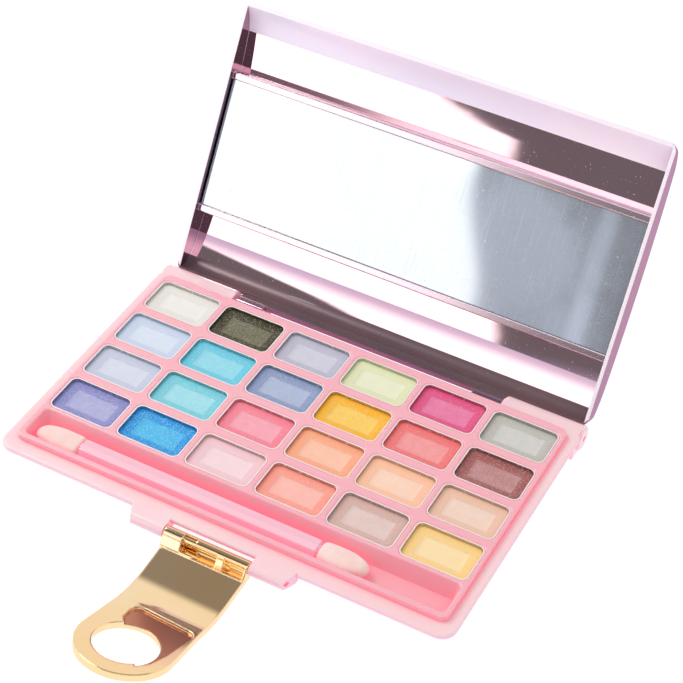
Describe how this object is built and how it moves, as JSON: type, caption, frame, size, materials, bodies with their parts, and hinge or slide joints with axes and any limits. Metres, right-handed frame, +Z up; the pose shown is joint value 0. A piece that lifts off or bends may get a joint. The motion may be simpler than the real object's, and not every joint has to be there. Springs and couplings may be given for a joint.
{
  "type": "eyeshadow palette",
  "caption": "Flat hinged makeup palette with a tray of powder pans, a domed lid with a mirror, a ring-ended front latch and a sponge-tipped applicator in a well.",
  "frame": {"origin": "centre of the base's footprint, on the surface the base rests on", "axes": "+X to the right along the hinge, +Y from the front latch to the lid hinge, +Z up"},
  "size_m": [0.1268, 0.174, 0.071],
  "materials": {
    "base_plastic": "glossy, slightly translucent pink",
    "tray_plastic": "glossy, slightly translucent pink",
    "pan_metal": "bright pressed sheet",
    "lid_plated": "metallised mirror finish with a lilac tint",
    "mirror_glass": "silvered glass",
    "tape_foam": "white double-sided foam tape",
    "pin_steel": "drawn steel rod",
    "latch_plated": "metallised mirror finish, warm gold",
    "handle_plastic": "glossy translucent pink",
    "sponge_foam": "fine soft foam",
    "powder_ivory": "pressed powder, ivory",
    "powder_olive": "pressed powder, olive",
    "powder_silver_lavender": "pressed powder, silver lavender",
    "powder_pale_lime": "pressed powder, pale lime",
    "powder_magenta": "pressed powder, magenta",
    "powder_silver_grey": "pressed powder, silver grey",
    "powder_ice_blue": "pressed powder, ice blue",
    "powder_turquoise": "pressed powder, turquoise",
    "powder_periwinkle": "pressed powder, periwinkle",
    "powder_yellow": "pressed powder, yellow",
    "powder_coral": "pressed powder, coral",
    "powder_plum_brown": "pressed powder, plum brown",
    "powder_lavender_grey": "pressed powder, lavender grey",
    "powder_mint": "pressed powder, mint",
    "powder_rose_pink": "pressed powder, rose pink",
    "powder_orange_peach": "pressed powder, orange peach",
    "powder_light_peach": "pressed powder, light peach",
    "powder_beige_peach": "pressed powder, beige peach",
    "powder_violet": "pressed powder, violet",
    "powder_bright_blue": "pressed powder, bright blue",
    "powder_pale_pink": "pressed powder, pale pink",
    "powder_salmon": "pressed powder, salmon",
    "powder_taupe": "pressed powder, taupe",
    "powder_cream_yellow": "pressed powder, cream yellow"
  },
  "bodies": {
    "base": {"base_shell": "base_plastic", "pan_tray": "tray_plastic", "hinge_pins": "pin_steel", "latch_pin": "pin_steel", "pan_ivory": "pan_metal", "powder_ivory": "powder_ivory", "pan_olive": "pan_metal", "powder_olive": "powder_olive", "pan_silver_lavender": "pan_metal", "powder_silver_lavender": "powder_silver_lavender", "pan_pale_lime": "pan_metal", "powder_pale_lime": "powder_pale_lime", "pan_magenta": "pan_metal", "powder_magenta": "powder_magenta", "pan_silver_grey": "pan_metal", "powder_silver_grey": "powder_silver_grey", "pan_ice_blue": "pan_metal", "powder_ice_blue": "powder_ice_blue", "pan_turquoise": "pan_metal", "powder_turquoise": "powder_turquoise", "pan_periwinkle": "pan_metal", "powder_periwinkle": "powder_periwinkle", "pan_yellow": "pan_metal", "powder_yellow": "powder_yellow", "pan_coral": "pan_metal", "powder_coral": "powder_coral", "pan_plum_brown": "pan_metal", "powder_plum_brown": "powder_plum_brown", "pan_lavender_grey": "pan_metal", "powder_lavender_grey": "powder_lavender_grey", "pan_mint": "pan_metal", "powder_mint": "powder_mint", "pan_rose_pink": "pan_metal", "powder_rose_pink": "powder_rose_pink", "pan_orange_peach": "pan_metal", "powder_orange_peach": "powder_orange_peach", "pan_light_peach": "pan_metal", "powder_light_peach": "powder_light_peach", "pan_beige_peach": "pan_metal", "powder_beige_peach": "powder_beige_peach", "pan_violet": "pan_metal", "powder_violet": "powder_violet", "pan_bright_blue": "pan_metal", "powder_bright_blue": "powder_bright_blue", "pan_pale_pink": "pan_metal", "powder_pale_pink": "powder_pale_pink", "pan_salmon": "pan_metal", "powder_salmon": "powder_salmon", "pan_taupe": "pan_metal", "powder_taupe": "powder_taupe", "pan_cream_yellow": "pan_metal", "powder_cream_yellow": "powder_cream_yellow"},
    "lid": {"lid_shell": "lid_plated", "mirror": "mirror_glass", "mirror_tapes": "tape_foam"},
    "latch": {"latch": "latch_plated"},
    "applicator": {"applicator_handle": "handle_plastic", "sponge_tip_left": "sponge_foam", "sponge_tip_right": "sponge_foam"}
  },
  "joints": [
    {"name": "lid_hinge", "type": "hinge", "parent": "base", "child": "lid", "pos_m": [0, 0.0401, 0.004], "axis": [1, 0, 0], "range_deg": [0, 119.5]},
    {"name": "latch_hinge", "type": "hinge", "parent": "base", "child": "latch", "pos_m": [0, -0.0423, 0.0057], "axis": [-1, 0, 0], "range_deg": [0, 157]},
    {"name": "applicator_lift", "type": "slide", "parent": "base", "child": "applicator", "axis": [0, 0, 1], "range_m": [0, 0.002]}
  ]
}
